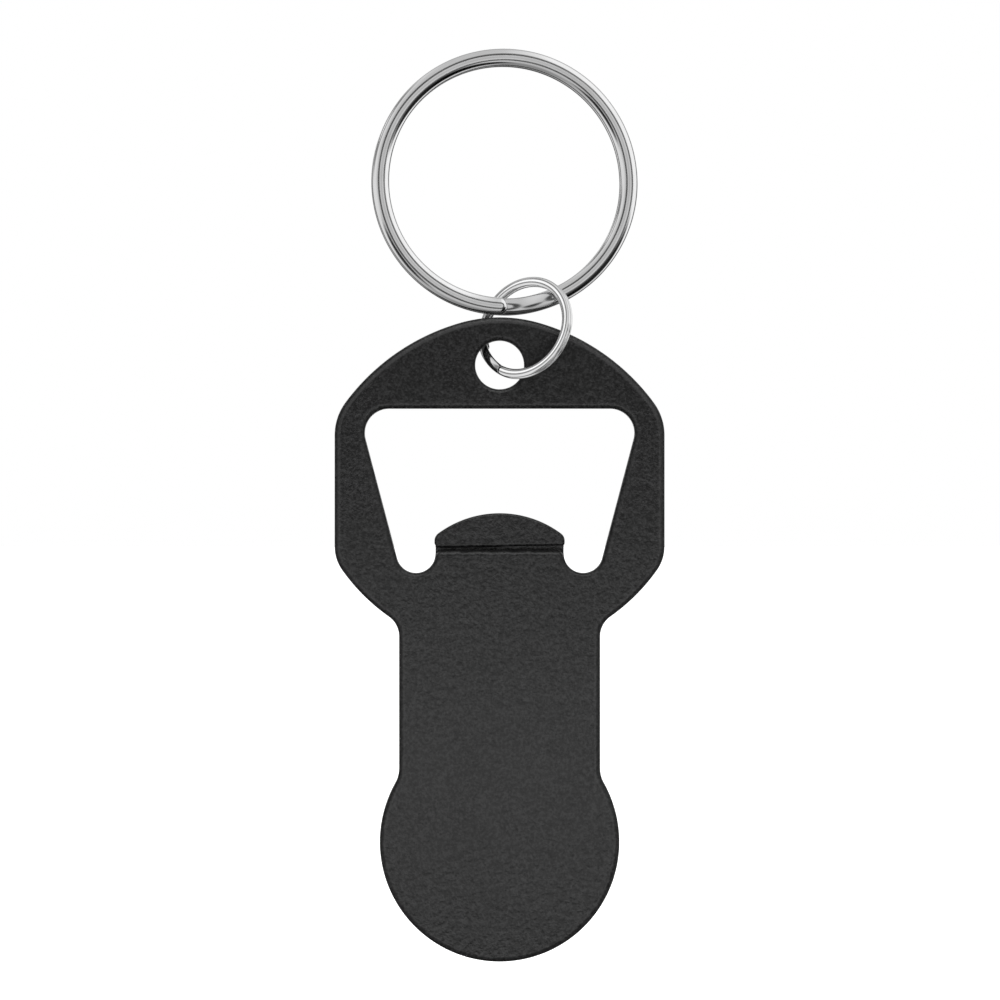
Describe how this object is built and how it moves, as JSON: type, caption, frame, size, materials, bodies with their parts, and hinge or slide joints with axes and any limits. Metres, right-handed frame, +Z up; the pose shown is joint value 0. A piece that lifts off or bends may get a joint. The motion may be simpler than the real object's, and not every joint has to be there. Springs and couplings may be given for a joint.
{
  "type": "keychain bottle opener",
  "caption": "Flat coated metal bottle opener with a cap opening and thin half-moon lip, a round coin-token end, and a small split link ring that joins it to a large split key ring.",
  "frame": {"origin": "on the plate's back face, on its centre line, halfway up the plate's length", "axes": "+X to the right seen from the front, +Y out of the back face, +Z up along the plate towards the rings; the front face looks towards -Y"},
  "size_m": [0.032, 0.0072, 0.0887],
  "materials": {
    "black_coat": "satin black powder coat",
    "polished_wire": "polished bright plating"
  },
  "bodies": {
    "key_ring": {"key_ring": "polished_wire"},
    "link_ring": {"link_ring": "polished_wire"},
    "opener_plate": {"opener_plate": "black_coat"}
  },
  "joints": [
    {"name": "link_swing", "type": "hinge", "parent": "key_ring", "child": "link_ring", "pos_m": [0.0026, -0.0002, 0.0324], "axis": [0.9339, 0.3256, 0.1479], "range_deg": [-110, 0]},
    {"name": "plate_swing", "type": "hinge", "parent": "link_ring", "child": "opener_plate", "pos_m": [0, -0.0009, 0.02842], "axis": [1, 0, 0], "range_deg": [0, 100]}
  ]
}
